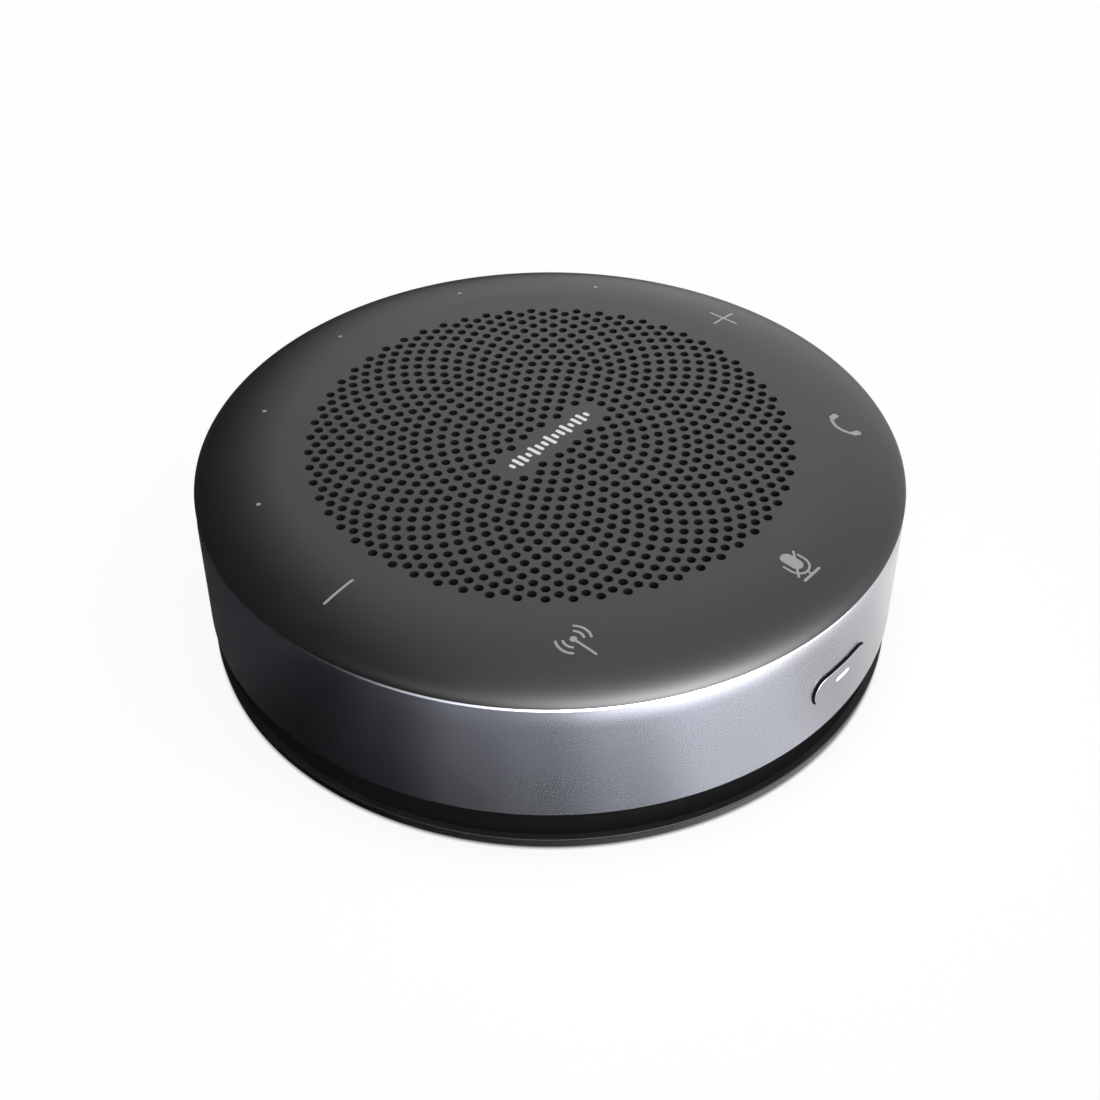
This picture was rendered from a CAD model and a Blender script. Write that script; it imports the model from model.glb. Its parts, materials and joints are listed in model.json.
"""A round, flat speakerphone with a perforated grille and touch marks on top.

It stands on the floor at z = 0 with its axis on Z. The power button faces -Y, the cable
sockets face +Y, and the touch marks lie on the -Y half of the cover. Shapes are built in
millimetres and turned into metres when a mesh is made. "below" in a name or a comment is
a distance down from the top of the cover.
"""

import json
import math

import bpy
import numpy as np
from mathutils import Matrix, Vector, kdtree
from mathutils.geometry import delaunay_2d_cdt


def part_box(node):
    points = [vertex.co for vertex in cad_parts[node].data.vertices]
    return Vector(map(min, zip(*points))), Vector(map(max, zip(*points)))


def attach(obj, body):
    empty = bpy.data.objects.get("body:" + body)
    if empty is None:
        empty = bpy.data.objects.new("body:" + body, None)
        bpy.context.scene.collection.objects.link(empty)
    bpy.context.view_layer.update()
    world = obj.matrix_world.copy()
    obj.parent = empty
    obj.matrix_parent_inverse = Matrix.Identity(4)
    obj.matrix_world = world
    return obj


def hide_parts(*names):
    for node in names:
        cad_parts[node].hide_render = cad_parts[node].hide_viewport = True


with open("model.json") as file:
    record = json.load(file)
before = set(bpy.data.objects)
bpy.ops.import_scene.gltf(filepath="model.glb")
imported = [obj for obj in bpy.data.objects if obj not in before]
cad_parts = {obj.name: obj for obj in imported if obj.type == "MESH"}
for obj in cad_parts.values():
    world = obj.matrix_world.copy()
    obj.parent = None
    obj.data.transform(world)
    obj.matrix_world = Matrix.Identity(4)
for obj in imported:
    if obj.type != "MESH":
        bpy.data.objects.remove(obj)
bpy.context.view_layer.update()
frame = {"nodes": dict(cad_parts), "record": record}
MM = 0.001
scene = bpy.context.scene
scene.view_settings.view_transform = "Standard"
scene.view_settings.look = "None"


def lo(part):
    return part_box(part)[0] / MM


def hi(part):
    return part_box(part)[1] / MM


# ------------------------------------------------------------------ driving sizes, mm
COLUMNS = 360                            # facets round every large turned shape
TOP = hi("top_cover").z
BAND_R = hi("side_band").x
BAND_Z0, BAND_Z1 = lo("side_band").z, hi("side_band").z
BAND_WALL = 1.6
BAND_IN_R = BAND_R - BAND_WALL
BASE_R = BAND_IN_R - 0.2                 # outer wall of the base, inside the band

FLAT_R = 49.0                            # the cover is flat out to here
ROLL_R, ROLL_H = BAND_R + 0.1 - FLAT_R, 5.1   # half axes of its elliptical edge
ROLL_END = math.acos(0.8 / ROLL_H)       # ellipse parameter at the cover's rim
MARK_R = 54.4                            # circle the touch marks and dots lie on
DOT_ANGLES = (30, 60, 90, 120, 150)
GRILLE_R = hi("speaker_grille").x + 0.03
GRILLE_Z0 = lo("speaker_grille").z

BUTTON_R = -lo("power_button").y         # outer face of the button
BUTTON_Z = (lo("power_button").z + hi("power_button").z) / 2
BUTTON_L, BUTTON_H = 15.7, 5.7
SOCKET_Z = 19

POST_R, POST_ANGLES = 55.6, (45, 135, 202.5, 337.5)   # posts that cover and base share
SCREW_R, SCREW_ANGLES = 53.6, (0, 90, 180, 270)       # screws of the bottom plate
PLATE_TOP = 2.6


# ------------------------------------------------------------------ mesh building
WELD_PER_MM = 2000                       # corners in the same 1/2000 mm cell become one


class Shape:
    """Collects faces in mm with a normal at every corner, then welds them into one mesh."""

    def __init__(self):
        self.verts, self.faces, self.normals, self.slots = [], [], [], []
        self.count = 0

    def add(self, verts, faces, normals=None, slot=0):
        """verts (N,3), faces (M,3) or (M,4), normals (M,k,3) or None for flat faces."""
        verts = np.asarray(verts, float)
        faces = np.asarray(faces, int)
        if len(faces) == 0:
            return
        if normals is None:
            p = verts[faces]
            flat = np.cross(p[:, 1] - p[:, 0], p[:, 2] - p[:, 0])
            if faces.shape[1] == 4:
                flat = flat + np.cross(p[:, 2] - p[:, 0], p[:, 3] - p[:, 0])
            normals = np.repeat(flat[:, None, :], faces.shape[1], axis=1)
        normals = np.asarray(normals, float)
        length = np.linalg.norm(normals, axis=2, keepdims=True)
        self.verts.append(verts)
        self.faces.append(faces + self.count)
        self.normals.append(normals / np.where(length < 1e-12, 1, length))
        self.slots.append(slot)
        self.count += len(verts)

    def mesh(self, name):
        verts = np.concatenate(self.verts) + 0.0      # turns -0.0 into 0.0
        cells = np.round(verts * WELD_PER_MM).astype(np.int64)
        _, first, weld = np.unique(cells, axis=0, return_index=True, return_inverse=True)
        weld = weld.reshape(-1)
        faces, normals, slots = [], [], []
        for block, block_normals, slot in zip(self.faces, self.normals, self.slots):
            for face, corner in zip(weld[block].tolist(), block_normals):
                keep = [i for i in range(len(face)) if face[i] != face[i - 1]]
                if len(keep) >= 3 and len({face[i] for i in keep}) == len(keep):
                    faces.append([face[i] for i in keep])
                    normals.append(corner[keep])
                    slots.append(slot)
        used, renumbered = np.unique(np.concatenate(faces), return_inverse=True)
        numbers = iter(renumbered.reshape(-1).tolist())
        faces = [[next(numbers) for _ in face] for face in faces]
        mesh = bpy.data.meshes.new(name)
        mesh.from_pydata((verts[first][used] * MM).tolist(), [], faces)
        mesh.polygons.foreach_set("use_smooth", [True] * len(mesh.polygons))
        if any(slots):
            mesh.polygons.foreach_set("material_index", slots)
        corners = np.concatenate(normals)
        mark_sharp_edges(mesh, corners)
        mesh.normals_split_custom_set(corners.tolist())
        mesh.update()
        return mesh


def mark_sharp_edges(mesh, corners):
    """Marks edges where the two faces' corner normals differ, so they aren't averaged."""
    count = len(mesh.loops)
    vert, edge = np.empty(count, np.int32), np.empty(count, np.int32)
    mesh.loops.foreach_get("vertex_index", vert)
    mesh.loops.foreach_get("edge_index", edge)
    faces = len(mesh.polygons)
    start, total = np.empty(faces, np.int32), np.empty(faces, np.int32)
    mesh.polygons.foreach_get("loop_start", start)
    mesh.polygons.foreach_get("loop_total", total)
    after = np.arange(count) + 1
    after[start + total - 1] = start
    order = np.argsort(edge, kind="stable")
    sorted_edge = edge[order]
    pair = np.flatnonzero(sorted_edge[:-1] == sorted_edge[1:])
    a, b = order[pair], order[pair + 1]
    same = vert[a] == vert[b]
    b_start, b_end = np.where(same, b, after[b]), np.where(same, after[b], b)
    match = np.minimum((corners[a] * corners[b_start]).sum(1),
                       (corners[after[a]] * corners[b_end]).sum(1))
    sharp = np.zeros(len(mesh.edges), bool)
    sharp[sorted_edge[pair[match < 0.9999]]] = True
    mesh.edges.foreach_set("use_edge_sharp", sharp)


def piece(name, shape, finishes, replaces, body="housing"):
    """A visible piece that rides on a body, stands for CAD nodes and has the finishes."""
    mesh = shape.mesh(name)
    obj = bpy.data.objects.new(name, mesh)
    scene.collection.objects.link(obj)
    for finish in finishes:
        mesh.materials.append(MATERIALS[finish])
    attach(obj, body)
    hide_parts(*replaces)


# ------------------------------------------------------------------ turned shapes
# A segment is ((point, normal), (point, normal)) in (r, z). Profiles run with the
# outside of the material on their right.
def unit(x, y):
    length = math.hypot(x, y) or 1.0
    return (x / length, y / length)


def polar(radius, degrees):
    angle = math.radians(degrees)
    return (radius * math.cos(angle), radius * math.sin(angle))


def straight(start, end):
    """A flat segment."""
    normal = unit(end[1] - start[1], start[0] - end[0])
    return ((start, normal), (end, normal))


def fillet(before, point, after, radius):
    """The rounding of one profile corner, as (point, normal) pairs."""
    r, z = point
    back = unit(before[0] - r, before[1] - z)
    ahead = unit(after[0] - r, after[1] - z)
    angle = math.acos(max(-1, min(1, back[0] * ahead[0] + back[1] * ahead[1])))
    cut = radius / math.tan(angle / 2)
    start = (r + back[0] * cut, z + back[1] * cut)
    end = (r + ahead[0] * cut, z + ahead[1] * cut)
    bisector = unit(back[0] + ahead[0], back[1] + ahead[1])
    reach = radius / math.sin(angle / 2)
    cx, cz = r + bisector[0] * reach, z + bisector[1] * reach
    sign = 1 if (back[0] * ahead[1] - back[1] * ahead[0]) < 0 else -1    # 1 is convex
    a0 = math.atan2(start[1] - cz, start[0] - cx)
    a1 = math.atan2(end[1] - cz, end[0] - cx)
    while a1 - a0 > math.pi:
        a1 -= 2 * math.pi
    while a1 - a0 < -math.pi:
        a1 += 2 * math.pi
    steps = max(2, int(abs(a1 - a0) / math.radians(15)) + 1)
    arc = []
    for j in range(steps + 1):
        t = a0 + (a1 - a0) * j / steps
        c, s = math.cos(t), math.sin(t)
        arc.append(((cx + radius * c, cz + radius * s), (sign * c, sign * s)))
    return start, end, arc


def outline(points, closed=True):
    """Profile corners (r, z, fillet radius) to segments with exact normals."""
    n = len(points)
    corners = []
    for i, (r, z, radius) in enumerate(points):
        if radius <= 0 or (not closed and i in (0, n - 1)):
            corners.append(((r, z), (r, z), []))
        else:
            corners.append(fillet(points[i - 1], (r, z), points[(i + 1) % n], radius))
    segments = []
    for i, (_, end, arc) in enumerate(corners):
        segments += zip(arc[:-1], arc[1:])
        if closed or i < n - 1:
            following = corners[(i + 1) % n][0]
            if math.hypot(following[0] - end[0], following[1] - end[1]) > 1e-6:
                segments.append(straight(end, following))
    return segments


def columns(n=COLUMNS):
    return np.radians(-180 + 360.0 * np.arange(n + 1) / n)


def column_ring(radius):
    """One full circle in the XY plane, with a point at every column."""
    return [(radius * math.cos(t), radius * math.sin(t)) for t in columns()[:-1]]


def lathe(shape, segments, n=COLUMNS, slot=0, centre=(0, 0)):
    """Turns profile segments round a line parallel to Z."""
    angles = columns(n)
    c, s = np.cos(angles), np.sin(angles)
    c[-1], s[-1] = c[0], s[0]
    i = np.arange(n)
    faces = np.stack([i, i + 1, n + 1 + i + 1, n + 1 + i], 1)
    for segment in segments:
        rows, normals = [], []
        for (r, z), (nr, nz) in segment:
            rows.append(np.stack([r * c + centre[0], r * s + centre[1], np.full(n + 1, z)], 1))
            normals.append(np.stack([nr * c, nr * s, np.full(n + 1, nz)], 1))
        n0, n1 = normals
        shape.add(np.concatenate(rows), faces,
                  np.stack([n0[i], n0[i + 1], n1[i + 1], n1[i]], 1), slot)


def tube(shape, centre, bore, radius, z0, z1, n=32, rounding=0.12):
    """An upright tube, or a solid pin where the bore is 0."""
    profile = [(bore, z0, 0), (radius, z0, rounding), (radius, z1, rounding), (bore, z1, 0)]
    lathe(shape, outline(profile, closed=bore > 0), n, centre=centre)


def block(shape, degrees, x0, x1, y0, y1, z0, z1):
    """A box turned round the Z axis."""
    verts = np.array([(x, y, z) for z in (z0, z1) for y in (y0, y1) for x in (x0, x1)], float)
    verts[:, :2] = turn(verts[:, :2], degrees)
    shape.add(verts, np.array([[0, 2, 3, 1], [4, 5, 7, 6], [0, 1, 5, 4],
                               [2, 6, 7, 3], [0, 4, 6, 2], [1, 3, 7, 5]]))


def rib(shape, degrees, r0, r1, z0, z1):
    """A radial rib 2 mm thick."""
    block(shape, degrees, r0, r1, -1, 1, z0, z1)


# ------------------------------------------------------------------ plane regions
class Plan:
    """Points and fixed edges of a plane region, to be triangulated."""

    def __init__(self):
        self.points, self.edges = [], []

    def line(self, points):
        start = len(self.points)
        self.edges += [(start + i, start + i + 1) for i in range(len(points) - 1)]
        self.points += [tuple(p) for p in points]

    def loop(self, points):
        start = len(self.points)
        self.line(points)
        self.edges.append((len(self.points) - 1, start))

    def triangulate(self):
        """Points, with input points kept exactly, and anticlockwise triangles."""
        result = delaunay_2d_cdt([Vector(p) for p in self.points], self.edges, [], 0, 1e-7)
        verts = np.array([p[:] for p in result[0]], float)
        source = np.asarray(self.points, float)
        for i, origins in enumerate(result[3]):
            if origins:
                verts[i] = source[origins[0]]
        tris = np.array([f for f in result[2] if len(f) == 3], int)
        p = verts[tris]
        area = ((p[:, 1, 0] - p[:, 0, 0]) * (p[:, 2, 1] - p[:, 0, 1])
                - (p[:, 1, 1] - p[:, 0, 1]) * (p[:, 2, 0] - p[:, 0, 0]))
        tris[area < 0] = tris[area < 0][:, ::-1]
        return verts, tris[np.abs(area) > 1e-9]


def inside(polygon, points):
    """Even-odd test of many points against one polygon."""
    x, y = points[:, 0], points[:, 1]
    hit = np.zeros(len(points), bool)
    for i in range(len(polygon)):
        (xi, yi), (xj, yj) = polygon[i], polygon[i - 1]
        cross = (yi > y) != (yj > y)
        if cross.any():
            hit[cross] ^= x[cross] < (xj - xi) * (y[cross] - yi) / (yj - yi) + xi
    return hit


def inside_any(polygons, points):
    hit = np.zeros(len(points), bool)
    for polygon in polygons:
        hit |= inside(polygon, points)
    return hit


def boundary(tris):
    """Directed edges that only one of these triangles has."""
    edges = np.concatenate([tris[:, [0, 1]], tris[:, [1, 2]], tris[:, [2, 0]]])
    key = edges.min(1) * 10**7 + edges.max(1)
    values, counts = np.unique(key, return_counts=True)
    return edges[np.isin(key, values[counts == 1])]


def skirt(shape, upper, lower, tris, inward=False):
    """Side walls between two copies of a patch of triangles."""
    start, end = boundary(tris).T
    n = len(upper)
    if inward:
        corners = (end, start, start + n, end + n)
    else:
        corners = (start, start + n, end + n, end)
    shape.add(np.concatenate([upper, lower]), np.stack(corners, 1))


def pocket(shape, surface, normals, tris, depth):
    """Sinks a patch of a surface."""
    bottom = surface - [0, 0, depth]
    shape.add(bottom, tris, normals[tris])
    skirt(shape, surface, bottom, tris, inward=True)


def inlay(shape, surface, normals, tris, depth):
    """Fills a pocket flush with the surface, with 0.01 mm left under it."""
    bottom = surface - [0, 0, depth - 0.01]
    shape.add(surface, tris, normals[tris])
    shape.add(bottom, tris[:, ::-1])
    skirt(shape, surface, bottom, tris)


def point_tree(points):
    tree = kdtree.KDTree(len(points))
    for i, (x, y) in enumerate(points):
        tree.insert((x, y, 0), i)
    tree.balance()
    return tree


def nearest(tree, points):
    """Index of and distance to the nearest tree point, for each point."""
    found = [tree.find((x, y, 0)) for x, y in points]
    return np.array([f[1] for f in found]), np.array([f[2] for f in found])


# ------------------------------------------------------------------ polygons
def turn(points, degrees):
    c, s = math.cos(math.radians(degrees)), math.sin(math.radians(degrees))
    return points @ np.array([[c, s], [-s, c]])


def disc(x, y, radius, n):
    a = 2 * np.pi * np.arange(n) / n
    return np.stack([x + radius * np.cos(a), y + radius * np.sin(a)], 1)


def stroke(start, end, width, n=10):
    """A round-ended line with n steps round each end."""
    start, end = np.array(start, float), np.array(end, float)
    along = end - start
    angle = math.atan2(along[1], along[0])
    sweep = np.pi * np.arange(n + 1) / n
    parts = max(1, int(np.linalg.norm(along) / 0.6))

    def offset(t):
        return width / 2 * np.array([math.cos(t), math.sin(t)])

    left, right = angle + np.pi / 2, angle - np.pi / 2
    rows = [end + offset(t) for t in right + sweep]
    rows += [end + (start - end) * j / parts + offset(left) for j in range(1, parts)]
    rows += [start + offset(t) for t in left + sweep]
    rows += [start + (end - start) * j / parts + offset(right) for j in range(1, parts)]
    return np.array(rows)


def arc_band(x, y, radius, width, a0, a1, n):
    """A square-ended arc: n outer points, then n inner ones."""
    t = np.radians(np.linspace(a0, a1, n))
    outer, inner = radius + width / 2, radius - width / 2
    return np.concatenate([
        np.stack([x + outer * np.cos(t), y + outer * np.sin(t)], 1),
        np.stack([x + inner * np.cos(t[::-1]), y + inner * np.sin(t[::-1])], 1)])


def round_rect(x, y, width, height, degrees, corner):
    points = []
    for side_x, side_y, a in ((1, 1, 0), (-1, 1, 90), (-1, -1, 180), (1, -1, 270)):
        for j in range(6):
            t = math.radians(a + 90 * j / 5)
            points.append((side_x * (width / 2 - corner) + corner * math.cos(t),
                           side_y * (height / 2 - corner) + corner * math.sin(t)))
    return turn(np.array(points), degrees) + [x, y]


def microphone_cradle():
    """The half ring under the microphone, with short upright ends."""
    ring = arc_band(0, 0.1, 2.1, 0.42, 0, -180, 40)
    return np.concatenate([[(2.3, 1.4)], ring[:40], [(-2.3, 1.4), (-1.9, 1.4)],
                           ring[40:], [(1.9, 1.4)]])


LINE_W = 0.45
MARKS = {                                # name: angle on the cover, polygons about its centre
    "plus": (0, [stroke((-3.1, 0), (3.1, 0), LINE_W), stroke((0, -3.1), (0, 3.1), LINE_W)]),
    "call": (-45, [turn(p, -12) for p in (
        arc_band(3, 0, 4.05, 0.62, 131, 229, 40),
        round_rect(0.85, 2.95, 1.75, 1.25, 10, 0.28),
        round_rect(0.85, -2.95, 1.75, 1.25, -10, 0.28))]),
    "mute": (-90, [
        stroke((0, 0.27), (0, 2.2), 2.4, 24),
        microphone_cradle(),
        disc(2.1, 1.4, 0.2, 20),
        disc(-2.1, 1.4, 0.2, 20),
        stroke((0, -2), (0, -2.95), 0.42),
        stroke((-2.1, -2.95), (2.1, -2.95), 0.5),
        round_rect(0.02, 0.33, 6.5, 0.42, 42.9, 0.06)]),
    "wireless": (-135, [stroke((0, -3.4), (0, 1.3), LINE_W), disc(0, 1.3, 0.62, 32)] + [
        arc_band(0, 1.3, radius, LINE_W, a - 42, a + 42, 30)
        for a in (0, 180) for radius in (1.75, 2.95)]),
    "minus": (180, [stroke((-3.25, 0), (3.25, 0), LINE_W + 0.05)]),
}


# ------------------------------------------------------------------ shader node helpers
def empty_tree(owner):
    owner.use_nodes = True
    owner.node_tree.nodes.clear()
    return owner.node_tree


def node(tree, kind, inputs=(), **settings):
    """A new node. Each input, by name or number, gets a value or a link from a socket."""
    new = tree.nodes.new(kind)
    for key, value in settings.items():
        setattr(new, key, value)
    for key, value in dict(inputs).items():
        if isinstance(value, bpy.types.NodeSocket):
            tree.links.new(value, new.inputs[key])
        else:
            new.inputs[key].default_value = value
    return new


def calc(tree, operation, *values):
    return node(tree, "ShaderNodeMath", dict(enumerate(values)), operation=operation).outputs[0]


def dot(tree, vector, direction):
    return node(tree, "ShaderNodeVectorMath", {0: vector, 1: direction},
                operation="DOT_PRODUCT").outputs["Value"]


def length(tree, vector):
    return node(tree, "ShaderNodeVectorMath", {0: vector}, operation="LENGTH").outputs["Value"]


def remap(tree, value, from_min, from_max, to_min, to_max, kind="LINEAR"):
    values = (value, from_min, from_max, to_min, to_max)
    return node(tree, "ShaderNodeMapRange", dict(enumerate(values)),
                interpolation_type=kind).outputs[0]


def smooth(tree, value, from_min, from_max, to_min, to_max):
    return remap(tree, value, from_min, from_max, to_min, to_max, "SMOOTHSTEP")


def colour_ramp(tree, value, stops, interpolation="LINEAR"):
    """stops are (position, (r, g, b))."""
    new = node(tree, "ShaderNodeValToRGB", {0: value})
    new.color_ramp.interpolation = interpolation
    elements = new.color_ramp.elements
    while len(elements) > 1:
        elements.remove(elements[-1])
    elements[0].position = stops[0][0]
    elements[0].color = (*stops[0][1], 1)
    for position, colour in stops[1:]:
        elements.new(position).color = (*colour, 1)
    return new.outputs[0]


def grey_ramp(tree, value, stops, interpolation="EASE"):
    """stops are (position, grey)."""
    return colour_ramp(tree, value, [(p, (grey,) * 3) for p, grey in stops], interpolation)


def scale_colour(tree, colour, factor):
    """Multiplies a colour by a single number."""
    grey = node(tree, "ShaderNodeCombineColor", {i: factor for i in range(3)}).outputs[0]
    return node(tree, "ShaderNodeMix", {0: 1.0, 6: colour, 7: grey},
                data_type="RGBA", blend_type="MULTIPLY").outputs[2]


# ------------------------------------------------------------------ surface patterns
def wave(tree, position, scale, distortion=0.0, **settings):
    return node(tree, "ShaderNodeTexWave",
                {"Vector": position, "Scale": scale, "Distortion": distortion},
                **settings).outputs["Fac"]


def stretched_noise(tree, position, mapping, noise):
    moved = node(tree, "ShaderNodeMapping", {"Vector": position, **mapping}).outputs[0]
    return node(tree, "ShaderNodeTexNoise", {"Vector": moved, **noise}).outputs[0]


def weave(tree, position, scale):
    threads = [wave(tree, position, scale, distortion=0.4, bands_direction=axis)
               for axis in "XY"]
    return calc(tree, "MAXIMUM", *threads)


def rings(tree, position, scale):
    return wave(tree, position, scale, distortion=0.2, wave_type="RINGS", rings_direction="Z")


def turns(tree, position, scale):
    return wave(tree, position, scale, bands_direction="Z")


def brush(tree, position, scale):
    return stretched_noise(tree, position, {"Scale": (1.0, 1.0, 60.0)},
                           {"Scale": scale, "Detail": 4})


def fibres(tree, position, scale):
    return stretched_noise(tree, position,
                           {"Scale": (1.0, 0.25, 1.0), "Rotation": (0.0, 0.0, 0.6)},
                           {"Scale": scale, "Detail": 6, "Distortion": 1.4})


def cells(tree, position, scale):
    return node(tree, "ShaderNodeTexVoronoi", {"Vector": position, "Scale": scale},
                feature="F1").outputs["Distance"]


# ------------------------------------------------------------------ materials
def material(name, colour, rough, grain, grain_bump, mottle, metallic=0.0, mottle_scale=220.0,
             rough_var=0.05, spec=0.5, coat=0.0, sheen=0.0, glow=0.0, subsurface=0.0,
             pattern=None, scale=0.0, dark=0.0, relief=0.0):
    """A surface with noise at two scales, and a pattern of its own where one is given.

    grain, mottle_scale and scale are texture scales of fine noise, broad noise and pattern;
    mottle and rough_var are the spread of colour and roughness; grain_bump and relief are
    bump strengths; dark is how much the pattern darkens the colour.
    """
    result = bpy.data.materials.new(name)
    tree = empty_tree(result)
    position = node(tree, "ShaderNodeTexCoord").outputs["Object"]
    broad = node(tree, "ShaderNodeTexNoise",
                 {"Vector": position, "Scale": mottle_scale, "Detail": 4}).outputs[0]
    fine = node(tree, "ShaderNodeTexNoise", {"Vector": position, "Scale": grain,
                                             "Detail": 3, "Roughness": 0.6}).outputs[0]
    darker = [max(0.0, c * (1 - mottle)) for c in colour]
    lighter = [min(1.0, c * (1 + mottle)) for c in colour]
    mixed = scale_colour(
        tree,
        colour_ramp(tree, broad, [(0.3, darker), (0.7, lighter)]),
        remap(tree, fine, 0.35, 0.65, 1 - mottle * 1.2, 1 + mottle * 1.2))
    bump = {"Strength": grain_bump, "Distance": 0.00004, "Height": fine}
    if pattern:
        height = pattern(tree, position, scale)
        mixed = scale_colour(tree, mixed, remap(tree, height, 0.0, 1.0, 1 - dark, 1.0))
        bump["Normal"] = node(tree, "ShaderNodeBump", {
            "Strength": relief, "Distance": 0.0001, "Height": height}).outputs[0]
    inputs = {
        "Base Color": mixed,
        "Roughness": remap(tree, broad, 0.3, 0.7,
                           max(0.02, rough - rough_var), min(1.0, rough + rough_var)),
        "Normal": node(tree, "ShaderNodeBump", bump).outputs[0],
        "Metallic": metallic,
        "Specular IOR Level": spec,
        "Coat Weight": coat,
        "Coat Roughness": 0.1,
        "Sheen Weight": sheen,
        "Sheen Roughness": 0.4,
    }
    if subsurface:
        inputs |= {"Subsurface Weight": subsurface, "Subsurface Scale": 0.0008}
    if glow:
        inputs |= {"Emission Color": (1, 1, 1, 1), "Emission Strength": glow}
    surface = node(tree, "ShaderNodeBsdfPrincipled", inputs)
    node(tree, "ShaderNodeOutputMaterial", {0: surface.outputs[0]})
    return result


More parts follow.
